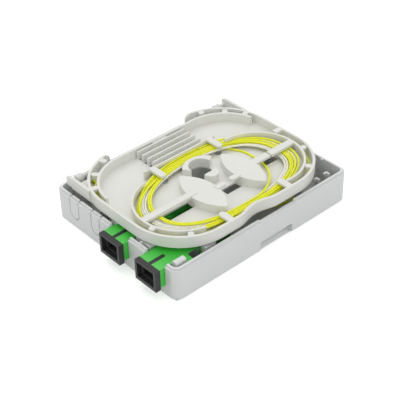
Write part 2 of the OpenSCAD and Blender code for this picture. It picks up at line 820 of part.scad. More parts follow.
module key_slot(w, l) {
    translate([-w / 2, 0]) square([w, l - w / 2]);
    translate([0, l - w / 2]) circle(w / 2);
}

module adapter_housing(i) {
    x = port_x[i];
    color(apc_green) difference() {
        union() {
            block([x - adapter_w / 2, adapter_front, adapter_z], [x + adapter_w / 2, adapter_rear, adapter_top]);
            block([x - flange_w / 2, flange_front, adapter_z], [x + flange_w / 2, flange_back, adapter_top]);
        }
        // one bay right through for the insert and the two plugs
        block([x - bay_w / 2, adapter_front - cut, port_z - bay_h / 2], [x + bay_w / 2, adapter_rear + cut, port_z + bay_h / 2]);
        // key slots from both ends
        translate([x, adapter_front - cut, port_z]) linear_extrude(adapter_h) key_slot(key_w, key_l + cut);
        translate([x, adapter_rear + cut, port_z]) rotate([0, 0, 180]) linear_extrude(adapter_h)
            key_slot(key_w, rear_key_l + cut);
        // side recesses for the spring clip
        for (s = [-1, 1])
            block([x + s * adapter_w / 2 - recess_d, flange_back + recess_gap, adapter_z - cut],
                [x + s * adapter_w / 2 + recess_d, flange_back + recess_gap + recess_l, adapter_top + cut]);
    }
}

module adapter_spring_clip(i) {
    x = port_x[i];
    y0 = flange_back + recess_gap + fit;
    y1 = y0 + recess_l - 2 * fit;
    side = adapter_w / 2 - recess_d;
    color(steel_grey) {
        for (s = [-1, 1])
            block([x + (s > 0 ? side : -side - spring_t), y0, adapter_z - spring_t],
                [x + (s > 0 ? side + spring_t : -side), y1, adapter_top - fit]);
        block([x - side - spring_t, y0, adapter_z - spring_t], [x + side + spring_t, y1, adapter_z]);
    }
}

insert_w = 9.2;
insert_h = 7.6;
insert_l = 5;
insert_tube_d = 4.8;
insert_tube_l = 12.4;
hook_l = 6;
hook_t = 0.8;

module latch_insert(i) {
    x = port_x[i];
    color("#3aa83a") difference() {
        union() {
            block([x - insert_w / 2, contact_y - insert_l / 2, port_z - insert_h / 2], [x + insert_w / 2, contact_y + insert_l / 2, port_z + insert_h / 2]);
            translate([x, contact_y + insert_tube_l / 2, port_z]) rotate([90, 0, 0]) cylinder(d = insert_tube_d, h = insert_tube_l);
        }
        translate([x, contact_y + insert_tube_l, port_z]) rotate([90, 0, 0])
            cylinder(d = ferrule_d + 2 * sleeve_wall + fit, h = 2 * insert_tube_l);
    }
}

module alignment_sleeve(i) {
    x = port_x[i];
    color(ceramic_white) translate([x, contact_y + sleeve_l / 2, port_z]) rotate([90, 0, 0]) difference() {
        cylinder(d = ferrule_d + 2 * sleeve_wall, h = sleeve_l);
        translate([0, 0, -cut]) cylinder(d = ferrule_d + fit / 2, h = sleeve_l + 2 * cut);
        translate([-sleeve_wall / 2, 0, -cut]) cube([sleeve_wall, ferrule_d, sleeve_l + 2 * cut]);
    }
}

// Plugs

grip_wall = 0.8;
grip_ribs = 6;
grip_rib_d = 0.35;
rib_zone = 11;
rib_margin = 1.2;
rib_w = 0.9;
grip_key_h = 0.6;
// Start, length and height of the latch windows
latch_window = [2.2, 4, 3.2];

module plug_grip(i) {
    x = port_x[i];
    color(apc_green) difference() {
        union() {
            block([x - grip_w / 2, grip_front, port_z - grip_h / 2], [x + grip_w / 2, grip_end, port_z + grip_h / 2]);
            block([x - key_w / 2 + fit, grip_front, port_z], [x + key_w / 2 - fit, grip_front + key_l / 2, port_z + grip_h / 2 + grip_key_h]);
        }
        block([x - core_w / 2 - fit, grip_front - cut, port_z - core_h / 2 - fit], [x + core_w / 2 + fit, grip_end - grip_wall, port_z + core_h / 2 + fit]);
        translate([x, grip_end + cut, port_z]) rotate([90, 0, 0]) cylinder(d = boot_d[0] + 2 * fit, h = grip_wall + 2 * cut);
        // finger ribs on the two sides
        for (k = [0 : grip_ribs - 1], s = [-1, 1])
            block([x + s * grip_w / 2 - grip_rib_d, grip_end - rib_margin - k * rib_zone / grip_ribs - rib_w, port_z - grip_h / 2 - cut],
                [x + s * grip_w / 2 + grip_rib_d, grip_end - rib_margin - k * rib_zone / grip_ribs, port_z + grip_h / 2 + cut]);
        // windows for the latches
        block([x - grip_w, grip_front + latch_window[0], port_z - latch_window[2] / 2],
            [x + grip_w, grip_front + latch_window[0] + latch_window[1], port_z + latch_window[2] / 2]);
    }
}

module plug_core(i) {
    x = port_x[i];
    y0 = grip_front - core_lead;
    color("#2f9a34") difference() {
        block([x - core_w / 2, y0, port_z - core_h / 2], [x + core_w / 2, y0 + core_l, port_z + core_h / 2]);
        // nose that takes the insert's tube, then the ferrule's collar, then the fibre
        translate([x, y0 + core_nose, port_z]) rotate([90, 0, 0]) cylinder(d = insert_tube_d + 2 * fit, h = core_nose + cut);
        translate([x, y0 + core_l + cut, port_z]) rotate([90, 0, 0]) cylinder(d = ferrule_collar_d, h = y0 + core_l + cut - collar_front);
        translate([x, y0 + core_l, port_z]) rotate([90, 0, 0]) cylinder(d = ferrule_d + fit, h = core_l - core_nose / 2);
    }
}

module ferrule(i) {
    x = port_x[i];
    color(ceramic_white) {
        translate([x, contact_y + ferrule_l, port_z]) rotate([90, 0, 0]) cylinder(d = ferrule_d, h = ferrule_l - fit);
        translate([x, collar_front + collar_l, port_z]) rotate([90, 0, 0]) cylinder(d = ferrule_collar_d - 2 * fit, h = collar_l);
    }
}

module plug_boot(i) {
    x = port_x[i];
    r0 = boot_d[0] / 2;
    r1 = boot_d[1] / 2;
    color("#35ad38") translate([x, grip_end - boot_in, port_z]) rotate([-90, 0, 0]) difference() {
        rotate_extrude() difference() {
            polygon([[0, 0], [r0, 0], [r0, boot_in + boot_collar], [r1, boot_l], [0, boot_l]]);
            for (k = [0 : boot_rings - 1])
                let (z = boot_in + boot_collar + ring_w * 1.5 + k * ring_pitch,
                    r = r0 - (r0 - r1) * (z - boot_in - boot_collar) / (boot_l - boot_in - boot_collar))
                translate([r - ring_d, z]) square([r0, ring_w]);
        }
        translate([0, 0, -cut]) cylinder(d = fibre_d + fit, h = boot_l + 2 * cut);
    }
}

// Dust caps

module dust_cap(i) {
    x = port_x[i];
    face_y = adapter_front - cap_t;
    low = adapter_top - cap_h;
    color(cap_black) difference() {
        union() {
            block([x - cap_w / 2, face_y, low], [x + cap_w / 2, adapter_front, adapter_top]);
            block([x - cap_plug[0] / 2, adapter_front - fit, port_z - cap_plug[1] / 2], [x + cap_plug[0] / 2, adapter_front + cap_plug_l, port_z + cap_plug[1] / 2]);
            translate([x, adapter_front - fit, port_z + cap_plug[1] / 2 - cap_key_in]) linear_extrude(adapter_top - port_z - cap_plug[1] / 2 + cap_key_in)
                key_slot(key_w - 2 * fit, key_l);
        }
        block([x - cap_mouth[0] / 2, face_y - cut, port_z - cap_mouth[1] / 2], [x + cap_mouth[0] / 2, face_y + cap_rim_depth, port_z + cap_mouth[1] / 2]);
        block([x - cap_bore[0] / 2, face_y - cut, port_z - cap_bore[1] / 2], [x + cap_bore[0] / 2, face_y + cap_bore_depth, port_z + cap_bore[1] / 2]);
    }
}

// Pigtails

// Places along Y where each lead is still straight behind its plug
lead_y = [-27, -16, 3.5];
function lead_start(i) = [for (y = lead_y) [port_x[i], y, port_z]];
// Route of the lead from the left plug, round the base and up to the hole in the tray
lead_1 = concat(lead_start(0), [[4.6, 8, 10], [5, 13, 9.2], [5, 18, 8], [4, 23, 6.6],
    [2, 27.6, 5.4], [-1.5, 31.4, 4.4], [-6, 34, 3.6], [-11, 35.2, 3], [-16, 35.2, 2.8], [-21, 34, 3],
    [-25.5, 31.6, 3.6], [-29.4, 28, 4.4], [-32.4, 23.6, 5.4], [-34.4, 18.6, 6.6], [-35.3, 13.4, 7.8],
    [-35.5, 8, 9], [-35.5, 2, 10], [-35.4, -4, 11], [-35.2, -10, 11.8], [-34.8, -16, 12.5], [-34.2, -22, 13.2],
    [-33.2, -28, 13.9], [-31.9, -33, 14.6], [-30.6, -35.9, 15.3], [-29.9, -37.3, 16.2]]);
// Route of the lead from the right plug
lead_2 = concat(lead_start(1), [[29.3, 7.4, 10], [30.6, 12, 9.5], [31.2, 17, 8.6],
    [31, 22, 7.5], [30, 27, 6.2], [27.8, 32.4, 4.8], [24, 37, 3.8], [19.6, 40, 3.2], [14.6, 41.8, 2.8],
    [9, 42.4, 2.8], [3, 42.4, 2.8], [-3, 42.2, 2.8], [-9, 41.8, 2.8], [-15, 40.8, 2.8], [-20.6, 39, 2.8],
    [-26, 36, 3.2], [-30.6, 31.6, 4], [-33.8, 26.4, 5.2], [-35.8, 20.8, 6.6], [-36.7, 15, 7.8], [-36.9, 9, 9],
    [-36.9, 3, 10], [-36.8, -3, 11], [-36.6, -9, 11.8], [-36.2, -15, 12.5], [-35.6, -21, 13.2],
    [-34.7, -27, 13.9], [-33.3, -32.6, 14.6], [-31.8, -36.4, 15.3], [-30.7, -38.2, 16.2]]);

module pigtail_lead(i) {
    color(i == 0 ? fibre_pale : fibre_yellow) tube(i == 0 ? lead_1 : lead_2, fibre_d / 2);
}

// Heights of the layers in which fibres lie on the tray floor
function layer(k) = tray_floor + fibre_d * (k + 0.5) + fibre_play * (k + 1);
fibre_play = 0.05;
ear_fibre_gap = 0.3;

// Both fibres come up through the hole, round the pocket wall and along the near end
channel_y = tray_y - tray_wall_t - channel_w / 2;
yellow_up = [[-30.7, -38.4, 16.9], [-30.4, -38.9, 18.2], [-29.4, -39.4, 19.1]];
pale_up = [[-29.9, -37.5, 16.9], [-29.7, -37.8, 17.6], [-29.1, -38.5, 18.25]];
end_run_shares = [-0.104, 0.078, 0.26];
function ear_run(k) = [for (a = [224 : 8 : 264])
    let (r = pocket_r + fibre_d / 2 + ear_fibre_gap) [pocket_c[0] + r * cos(a), -pocket_c[1] + r * sin(a), layer(k)]];
function end_run(k) = [for (share = end_run_shares) [share * tray_x, -channel_y, layer(k)]];

// Round the free corner in the outer channel, then along the free side
corner_r_mid = rim_r - tray_wall_t - channel_w / 2;
function corner_run(k) = [for (a = [270 : 12 : 342])
    [rim_c[0] + corner_r_mid * cos(a), -rim_c[1] + corner_r_mid * sin(a), layer(k)]];

// Distance of a coil's first turn from the guide rib, the free side and the far and near
// ends of the tray, and how much further in each next turn lies
yellow_first = [1.5, 4.2, 6.5, 7.7];
yellow_step = [0.95, 0.95, 1.2, 1.2];
pale_first = [1.8, 4.4, 7.3, 8.4];
pale_step = [1, 1, 1.5, 1.5];
turn_steps = 36;
// How much the far and the near end draw the left side in
pull_shares = [0.3, 0.08];

// A point of the coil after t turns, which starts on the free side and runs anticlockwise
function coil_point(first, step, t, k) =
    let (inset = first + t * step, a = 360 * t, far = tray_y - inset[2], near = -tray_y + inset[3],
        pull = sin(a) > 0 ? pull_shares[0] : pull_shares[1],
        side = cos(a) > 0 ? tray_x - inset[1] - rim_c[0]
            : (rim_c[0] - guide_x - inset[0]) * (1 - pull * pow(sin(a), 2)))
    [rim_c[0] + side * cos(a), (far + near) / 2 + (far - near) / 2 * sin(a), layer(k)];
function coil_run(first, step, turns, k) =
    [for (i = [0 : round(turns * turn_steps)]) coil_point(first, step, i / turn_steps, k)];

// The yellow fibre ends by crossing under its own turns towards the comb: each point is two
// shares of the half tray and a layer
crossing_shares = [[0.815, 0.132, 2], [0.786, 0.243, 2], [0.708, 0.343, 1.8], [0.573, 0.424, 1.4],
    [0.404, 0.469, 0.95], [0.234, 0.481, 0.5], [0.089, 0.471, 0.1], [-0.052, 0.45, 0], [-0.195, 0.436, 0],
    [-0.313, 0.45, 0], [-0.417, 0.491, 0]];
// The tail leaves the coil under its turns and lies in the far outer channel
tail_shares = [[0.771, -0.284, 0], [0.826, -0.183, 0], [0.867, -0.081, 0], [0.896, 0.02, 0], [0.917, 0.122, 0],
    [0.9375, 0.243, 0], [0.9375, 0.365, 0]];
tail_end_shares = [0.208, 0.052];

function tray_points(shares) = [for (share = shares) concat(spot(share, [tray_x, tray_y]), [layer(share[2])])];

module fibre_coil_yellow() {
    color(fibre_yellow) tube(concat(yellow_up, ear_run(1), end_run(1), corner_run(1),
        coil_run(yellow_first, yellow_step, yellow_turns, 2), tray_points(crossing_shares)), fibre_d / 2);
}

module fibre_coil_pale() {
    color(fibre_pale) tube(concat(pale_up, ear_run(0), end_run(0), corner_run(0),
        coil_run(pale_first, pale_step, pale_turns, 1)), fibre_d / 2);
}

module fibre_tail_yellow() {
    color(fibre_yellow) tube(concat(tray_points(tail_shares),
        [for (a = [-4 : 11 : 84]) [rim_c[0] + corner_r_mid * cos(a), rim_c[1] + corner_r_mid * sin(a), layer(0)]],
        [for (share = tail_end_shares) [share * tray_x, channel_y, layer(0)]]), fibre_d / 2);
}

base_shell();
splice_tray();
adapter_housing(0);  // adapter_housing_1
adapter_housing(1);  // adapter_housing_2
adapter_spring_clip(0);  // adapter_spring_clip_1
adapter_spring_clip(1);  // adapter_spring_clip_2
latch_insert(0);  // latch_insert_1
latch_insert(1);  // latch_insert_2
alignment_sleeve(0);  // alignment_sleeve_1
alignment_sleeve(1);  // alignment_sleeve_2
plug_grip(0);  // plug_grip_1
plug_grip(1);  // plug_grip_2
plug_core(0);  // plug_core_1
plug_core(1);  // plug_core_2
ferrule(0);  // ferrule_1
ferrule(1);  // ferrule_2
plug_boot(0);  // plug_boot_1
plug_boot(1);  // plug_boot_2
dust_cap(0);  // dust_cap_1
dust_cap(1);  // dust_cap_2
pigtail_lead(0);  // pigtail_lead_1
pigtail_lead(1);  // pigtail_lead_2
fibre_coil_pale();
fibre_coil_yellow();
fibre_tail_yellow();
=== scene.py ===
# %% [markdown]
# # Dressing a fibre wall box
# The box is a shallow white base that is screwed to a wall. Two green adapters sit in one
# end of it, closed by black rubber caps, and a white splice tray swings up over them. The
# tray holds coils of yellow and pale fibre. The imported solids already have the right
# shapes, so this file loads them as they are and gives each piece its real surface.

# %% Load the frame
import math

import bpy
import numpy as np
from mathutils import Matrix, Vector


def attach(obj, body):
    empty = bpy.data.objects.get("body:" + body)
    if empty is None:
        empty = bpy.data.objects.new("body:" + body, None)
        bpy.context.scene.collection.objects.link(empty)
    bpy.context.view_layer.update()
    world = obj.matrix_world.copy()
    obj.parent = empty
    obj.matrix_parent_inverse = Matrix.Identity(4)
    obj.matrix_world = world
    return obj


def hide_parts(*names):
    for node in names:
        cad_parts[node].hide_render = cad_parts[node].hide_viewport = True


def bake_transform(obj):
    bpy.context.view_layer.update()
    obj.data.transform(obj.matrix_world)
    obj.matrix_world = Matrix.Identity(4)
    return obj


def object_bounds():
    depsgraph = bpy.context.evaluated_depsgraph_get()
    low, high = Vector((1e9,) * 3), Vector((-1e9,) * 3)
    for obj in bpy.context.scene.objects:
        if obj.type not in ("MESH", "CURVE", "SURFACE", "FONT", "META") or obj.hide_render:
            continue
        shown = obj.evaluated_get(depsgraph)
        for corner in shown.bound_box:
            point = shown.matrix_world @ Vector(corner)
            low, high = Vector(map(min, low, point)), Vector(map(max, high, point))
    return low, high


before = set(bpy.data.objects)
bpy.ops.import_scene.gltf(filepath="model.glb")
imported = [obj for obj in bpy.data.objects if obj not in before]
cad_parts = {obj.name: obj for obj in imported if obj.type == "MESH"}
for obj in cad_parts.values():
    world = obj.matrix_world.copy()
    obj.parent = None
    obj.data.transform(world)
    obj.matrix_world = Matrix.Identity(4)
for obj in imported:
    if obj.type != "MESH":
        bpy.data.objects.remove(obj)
cad_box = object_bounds()
MM = 0.001

# %% [markdown]
# Colours are easier to choose as the hex values a screen shows, but a renderer adds up
# light, so each one is turned to linear once, here. The second helper adds a shader or
# geometry node with its settings and inputs: an input is either a value or another node's
# output, which it then links. That keeps every tree below as a plain list of its nodes.


# %% Colours and nodes
def from_hex(code):
    parts = [int(code[i:i + 2], 16) / 255 for i in (1, 3, 5)]
    linear = [c / 12.92 if c <= 0.04045 else ((c + 0.055) / 1.055) ** 2.4 for c in parts]
    return (*linear, 1.0)


def add_node(tree, kind, inputs=None, **settings):
    made = tree.nodes.new(kind)
    for name, value in settings.items():
        setattr(made, name, value)
    for name, value in (inputs or {}).items():
        if isinstance(value, bpy.types.NodeSocket):
            tree.links.new(value, made.inputs[name])
        else:
            made.inputs[name].default_value = value
    return made


print("white as linear:", [round(c, 3) for c in from_hex("#ffffff")])

# %% [markdown]
# The camera stands where the photographer stood: off one corner of the port wall and well
# above the table, with a longish lens. Its place was worked out from the edges of the base,
# which are parallel or at right angles. Three angles would turn it too, but a matrix made
# from its right, up and back directions shows how the slight roll comes in.

# %% Camera
AZIMUTH, ELEVATION, ROLL = (math.radians(a) for a in (48.79, 36.83, -1.5))
ASIDE, RISE, DISTANCE = -1.46, 2.88, 484.2
LENS, SENSOR = 93.96, 36
outward = math.cos(ELEVATION)
back = Vector((math.sin(AZIMUTH) * outward, -math.cos(AZIMUTH) * outward, math.sin(ELEVATION)))
sideways = Vector((math.cos(AZIMUTH), math.sin(AZIMUTH), 0))
above = back.cross(sideways)
right = math.cos(ROLL) * sideways + math.sin(ROLL) * above
up = -math.sin(ROLL) * sideways + math.cos(ROLL) * above
place = (right * ASIDE + up * RISE + back * DISTANCE) * MM
camera_data = bpy.data.cameras.new("camera")
camera_data.lens = LENS
camera_data.sensor_width = SENSOR
camera_data.clip_start = 0.02
camera = bpy.data.objects.new("camera", camera_data)
camera.matrix_world = Matrix.Translation(place) @ Matrix((right, up, back)).transposed().to_4x4()
bpy.context.scene.collection.objects.link(camera)
bpy.context.scene.camera = camera
print("camera at", [round(v, 3) for v in place])

# %% [markdown]
# A product shot like this one is taken in a light tent: white cloth all round, with a soft
# box above. Most of the light comes from the tent, so even the inside of the base stays a
# light grey, and the lamps only add enough direction to show steps and grooves. One is above
# and behind, the second fills the port wall from the left, and the third lights the long
# side from the right. A bare bulb would be simpler, but its shadows have hard edges.

# %% Lamps
scene = bpy.context.scene
scene.view_settings.view_transform = "Standard"
LAMP_AIM = (0, 0, 0.01)


def soft_box(name, spot, size, watts):
    data = bpy.data.lights.new(name, "AREA")
    data.shape = "DISK"
    data.size = size
    data.energy = watts
    lamp = bpy.data.objects.new(name, data)
    lamp.location = spot
    lamp.rotation_euler = (Vector(LAMP_AIM) - Vector(spot)).to_track_quat("-Z", "Y").to_euler()
    scene.collection.objects.link(lamp)


soft_box("overhead", (-0.35, 0.2, 0.85), 1.2, 3.0)
soft_box("left_fill", (-0.5, -0.6, 0.5), 0.6, 0.55)
soft_box("right_fill", (0.7, -0.2, 0.35), 0.5, 0.9)

# %% [markdown]
# The tent is the world: a soft white for all light that reaches the box, and plain white for
# the camera, for reflections and for rays through clear pieces, so that the background is
# paper white and metal mirrors it. The Light Path node tells these rays apart, and since each
# output is 0 or 1, the largest of the three says whether a ray sees the tent itself.


# %% Light tent
def seen_directly(tree):
    rays = add_node(tree, "ShaderNodeLightPath").outputs
    bounced = add_node(tree, "ShaderNodeMath", {
        0: rays["Is Glossy Ray"], 1: rays["Is Transmission Ray"]}, operation="MAXIMUM")
    any_of_three = add_node(tree, "ShaderNodeMath", {
        0: rays["Is Camera Ray"], 1: bounced.outputs[0]}, operation="MAXIMUM")
    return any_of_three.outputs[0]


world = bpy.data.worlds.new("light_tent")
scene.world = world
world.use_nodes = True
sky = world.node_tree
sky.nodes.clear()
cloth = add_node(sky, "ShaderNodeBackground", {"Color": from_hex("#f4f5f4"), "Strength": 0.71})
paper = add_node(sky, "ShaderNodeBackground", {"Color": from_hex("#ffffff"), "Strength": 1.0})
mixed = add_node(sky, "ShaderNodeMixShader", {
    0: seen_directly(sky), 1: cloth.outputs[0], 2: paper.outputs[0]})
add_node(sky, "ShaderNodeOutputWorld", {"Surface": mixed.outputs[0]})
print("world nodes:", len(sky.nodes))

# %% [markdown]
# The table is white paper. Seen by the camera or in a reflection it glows a little, so that
# it reaches plain white away from the box and still shows the thin contact shadow at its
# foot. More light would do that too, but would wash out the white box. The paper that the
# box covers shows through the holes in its back, so the floor is a grid of nine fields, and
# the middle one has no glow.

# %% Paper on the table
PAPER_HALF = 3.0
PAPER_DROP = 0.2 * MM
PAPER_WHITE = from_hex("#fbfbfb")
FOOT_INSET = 1 * MM
MIDDLE_FIELD = 4
foot_x, foot_y = (cad_box[1][axis] - FOOT_INSET for axis in (0, 1))
across = (-PAPER_HALF, -foot_x, foot_x, PAPER_HALF)
along = (-PAPER_HALF, -foot_y, foot_y, PAPER_HALF)
corners = [(x, y, -PAPER_DROP) for y in along for x in across]
fields = [(k, k + 1, k + 5, k + 4) for k in (0, 1, 2, 4, 5, 6, 8, 9, 10)]
floor_mesh = bpy.data.meshes.new("floor")
floor_mesh.from_pydata(corners, [], fields)
floor = bpy.data.objects.new("floor", floor_mesh)
scene.collection.objects.link(floor)
paper_white = bpy.data.materials.new("seamless_paper")
paper_white.use_nodes = True
tree = paper_white.node_tree
tree.nodes.clear()
matt = add_node(tree, "ShaderNodeBsdfDiffuse", {"Color": PAPER_WHITE})
glow = add_node(tree, "ShaderNodeEmission", {"Color": from_hex("#ffffff"), "Strength": 0.42})
lit = add_node(tree, "ShaderNodeAddShader", {0: matt.outputs[0], 1: glow.outputs[0]})
plain = add_node(tree, "ShaderNodeBsdfDiffuse", {"Color": from_hex("#dcdcdc")})
floor_mix = add_node(tree, "ShaderNodeMixShader", {
    0: seen_directly(tree), 1: plain.outputs[0], 2: lit.outputs[0]})
add_node(tree, "ShaderNodeOutputMaterial", {"Surface": floor_mix.outputs[0]})
covered = bpy.data.materials.new("covered_paper")
covered.use_nodes = True
covered.node_tree.nodes.clear()
shaded = add_node(covered.node_tree, "ShaderNodeBsdfDiffuse", {"Color": PAPER_WHITE})
add_node(covered.node_tree, "ShaderNodeOutputMaterial", {"Surface": shaded.outputs[0]})
floor_mesh.materials.append(paper_white)
floor_mesh.materials.append(covered)
floor_mesh.polygons[MIDDLE_FIELD].material_index = 1
print("floor fields:", len(floor_mesh.polygons), "half width:", PAPER_HALF, "m")

# %% [markdown]
# The base, tray, adapters and plugs are all injection moulded. A steel mould leaves a fine
# eroded grain, slow changes of tone where the melt cooled unevenly, and slightly soft
# edges. All moulded pieces share that recipe, so one function holds it, and each plastic
# gives its own colour, gloss and grain. The grain is drawn at 0.35 mm, coarser than real,
# so that it shows at all. The Bevel node rounds the look of the edges by a tenth of a
# millimetre, as the mould's edge would; a real bevel would need every mesh to be rebuilt.


# %% Recipe for moulded plastic
def moulded(name, light, dark, rough, grain_mm=0.35, edge_mm=0.12, bump=0.05, flow_mm=14):
    material = bpy.data.materials.new(name)
    material.use_nodes = True
    tree = material.node_tree
    tree.nodes.clear()
    at = add_node(tree, "ShaderNodeTexCoord").outputs["Object"]
    slow = add_node(tree, "ShaderNodeTexNoise", {
        "Vector": at, "Scale": 1000 / flow_mm, "Detail": 3.0, "Roughness": 0.55})
    fine = add_node(tree, "ShaderNodeTexNoise", {
        "Vector": at, "Scale": 1000 / grain_mm, "Detail": 2.0, "Roughness": 0.6})
    # Inputs 6 and 7 of a Mix node are its two colours, and output 2 is the mixed one.
    tone = add_node(tree, "ShaderNodeMix", {
        "Factor": slow.outputs["Fac"], 6: from_hex(dark), 7: from_hex(light)}, data_type="RGBA")
    gloss = add_node(tree, "ShaderNodeMapRange", {
        "Value": fine.outputs["Fac"], "To Min": rough - 0.05, "To Max": rough + 0.06})
    soft_edge = add_node(tree, "ShaderNodeBevel", {"Radius": edge_mm * MM}, samples=4)
    skin = add_node(tree, "ShaderNodeBump", {
        "Strength": bump, "Distance": 0.05 * MM, "Height": fine.outputs["Fac"],
        "Normal": soft_edge.outputs["Normal"]})
    shader = add_node(tree, "ShaderNodeBsdfPrincipled", {
        "Base Color": tone.outputs[2], "Roughness": gloss.outputs[0],
        "Normal": skin.outputs["Normal"]})
    add_node(tree, "ShaderNodeOutputMaterial", {"Surface": shader.outputs[0]})
    return material, shader


print("materials so far:", len(bpy.data.materials))

# %% [markdown]
# The base and the tray are white ABS, the plastic of most such boxes: opaque, a little
# glossy, with an IOR of 1.53. One finish could serve both, but two mouldings are seldom of
# one batch: the tray is slightly warmer and duller than the base, so each has its own.

# %% White ABS of the base and the tray
base_abs, shader = moulded("abs_base", "#e1e2e2", "#dcdddd", 0.42)
shader.inputs["IOR"].default_value = 1.53
tray_abs, shader = moulded("abs_tray", "#e7e7e2", "#e1e1db", 0.46)
shader.inputs["IOR"].default_value = 1.53
print("white plastics:", base_abs.name, tray_abs.name)

# %% [markdown]
# The adapters and the plugs are green PBT, a stiff plastic with a clean satin face and an
# IOR of 1.58. Green is the trade's sign for a fibre end that is ground at an angle. Plugs
# come from another mould than adapters, so their green is a shade darker and duller. With
# one green for both, the two would look like one piece where they meet.

# %% Green PBT of the adapters and plugs
green_pbt, shader = moulded("pbt_green", "#46cc45", "#3cbe3c", 0.36, grain_mm=0.3)
shader.inputs["IOR"].default_value = 1.58
plug_green, shader = moulded("pbt_green_plug", "#3fbf3d", "#36b035", 0.38)
shader.inputs["IOR"].default_value = 1.58
print("green plastics:", green_pbt.name, plug_green.name)

# %% [markdown]
# The dust caps are black thermoplastic rubber: matt, with a coarser grain than the plastics
# and a faint dusty bloom that lifts the black to a dark grey where light grazes it. A lighter
# base colour would lift it everywhere and lose the dark recess, so the Principled shader's
# sheen layer gives the bloom.

# %% Black rubber of the dust caps
cap_rubber, shader = moulded("tpe_black", "#1b1b1d", "#151517", 0.55, grain_mm=0.4, bump=0.08)
shader.inputs["Sheen Weight"].default_value = 0.05
shader.inputs["Sheen Roughness"].default_value = 0.6
print("rubber:", cap_rubber.name)

# %% [markdown]
# The ferrules and their sleeves are ground zirconia, a dense white ceramic that takes a
# polish like glass. Its high IOR of 2.1 gives it brighter reflections than any plastic. A
# coat layer could give that gloss too, but the ceramic has no coat: its own face shines. The
# recipe for plastic fits with hardly any grain, so no other one is needed.

# %% Zirconia of the ferrules and sleeves
zirconia, shader = moulded("zirconia", "#f2efe8", "#ece8df", 0.18,
                           grain_mm=0.2, bump=0.01, flow_mm=6)
shader.inputs["IOR"].default_value = 2.1
print("ceramic:", zirconia.name)

# %% [markdown]
# The fibres' buffers are soft PVC drawn over the glass. The face is smooth and satin, and the
# thin jacket lets light through, so the gaps between the strands stay bright. Subsurface
# scatter gives that. Its reach is 1.5 mm, wider than in the real jacket, so that it shows at
# all on so thin a strand. Yellow plastic swallows blue light, so blue reaches less far there.


# %% PVC of the fibre buffers
def buffer_pvc(name, light, dark, reach_by_colour):
    material, shader = moulded(name, light, dark, 0.36,
                               grain_mm=0.25, edge_mm=0.05, bump=0.02, flow_mm=22)
    shader.inputs["Subsurface Weight"].default_value = 0.85
    shader.inputs["Subsurface Radius"].default_value = reach_by_colour
    shader.inputs["Subsurface Scale"].default_value = 1.5 * MM
    return material


yellow_pvc = buffer_pvc("pvc_yellow", "#f5f80c", "#eef208", (1.0, 1.0, 0.3))
pale_pvc = buffer_pvc("pvc_pale", "#efede0", "#e8e5d6", (1.0, 1.0, 0.9))
print("buffers:", yellow_pvc.name, pale_pvc.name)

# %% [markdown]
# The spring clips are blanked from steel strip. Rolling leaves long fine lines along the
# strip, so the pattern is a noise squeezed hard in one direction: lines 0.1 mm apart and
# about 3 mm long. A wave texture gives lines too, but too regular ones. The steel is a true
# metal, so it keeps the default IOR.

# %% Rolled spring steel of the clips
spring_steel = bpy.data.materials.new("rolled_spring_steel")
spring_steel.use_nodes = True
tree = spring_steel.node_tree
tree.nodes.clear()
at = add_node(tree, "ShaderNodeTexCoord").outputs["Object"]
squeezed = add_node(tree, "ShaderNodeMapping", {"Vector": at, "Scale": (9000.0, 300.0, 9000.0)})
rolled = add_node(tree, "ShaderNodeTexNoise", {
    "Vector": squeezed.outputs[0], "Scale": 1.0, "Detail": 2.0}).outputs["Fac"]
dull = add_node(tree, "ShaderNodeMapRange", {"Value": rolled, "To Min": 0.24, "To Max": 0.42})
strip_skin = add_node(tree, "ShaderNodeBump", {
    "Strength": 0.1, "Distance": 0.02 * MM, "Height": rolled})
strip = add_node(tree, "ShaderNodeBsdfPrincipled", {
    "Base Color": from_hex("#b9bbbd"), "Metallic": 1.0, "Roughness": dull.outputs[0],
    "Normal": strip_skin.outputs[0]})
add_node(tree, "ShaderNodeOutputMaterial", {"Surface": strip.outputs[0]})
print("metal:", spring_steel.name)

# %% [markdown]
# The solids of the frame keep their shapes and only get their finish: each node's one
# material slot is cleared and filled again. The fibres' solids are coarse tubes, and smooth
# ones replace them further on, but they are given the same finish, so that nothing is plain.

# %% Finishes for the solids
finishes = {"base_shell": base_abs, "splice_tray": tray_abs}
of_each_port = {
    "adapter_housing": green_pbt, "latch_insert": green_pbt, "adapter_spring_clip": spring_steel,
    "alignment_sleeve": zirconia, "ferrule": zirconia, "plug_grip": plug_green,
    "plug_core": plug_green, "plug_boot": plug_green, "dust_cap": cap_rubber}
for i in (1, 2):
    finishes.update({f"{kind}_{i}": finish for kind, finish in of_each_port.items()})
for name in ("pigtail_lead_1", "fibre_coil_pale"):
    finishes[name] = pale_pvc
for name in ("pigtail_lead_2", "fibre_coil_yellow", "fibre_tail_yellow"):
    finishes[name] = yellow_pvc
for name, finish in finishes.items():
    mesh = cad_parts[name].data
    mesh.materials.clear()
    mesh.materials.append(finish)
print("finished nodes:", len(finishes), "of", len(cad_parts))

# %% [markdown]
# Each pigtail is one long glass fibre in a soft plastic buffer of 0.9 mm. It leaves its plug,
# goes round the base, comes up by the hinge through a small hole in the tray's floor, and is
# wound in the tray. The sizes here are those of the tray, so the fibres lie where their
# solids lie. Fibres rest on each other, and a level is the height of such a layer.

# %% Sizes of the tray and the levels on its floor
FIBRE = 0.9                  # diameter of the buffer; all sizes here are in millimetres
TRAY_X, TRAY_Y = 38.4, 49.3  # half the width and half the length of the tray
TRAY_FLOOR = 17.8
GUIDE_X = -15.4              # the rib that keeps the coils off the comb
COIL_X = 12.2                # the middle of the coils and of the arc walls
PORT_X, PORT_Z = (4.4, 28.3), 10.2
CHANNEL_Y = 46.55            # the middle of the outer channel at both ends
LAYER_GAP = 0.05


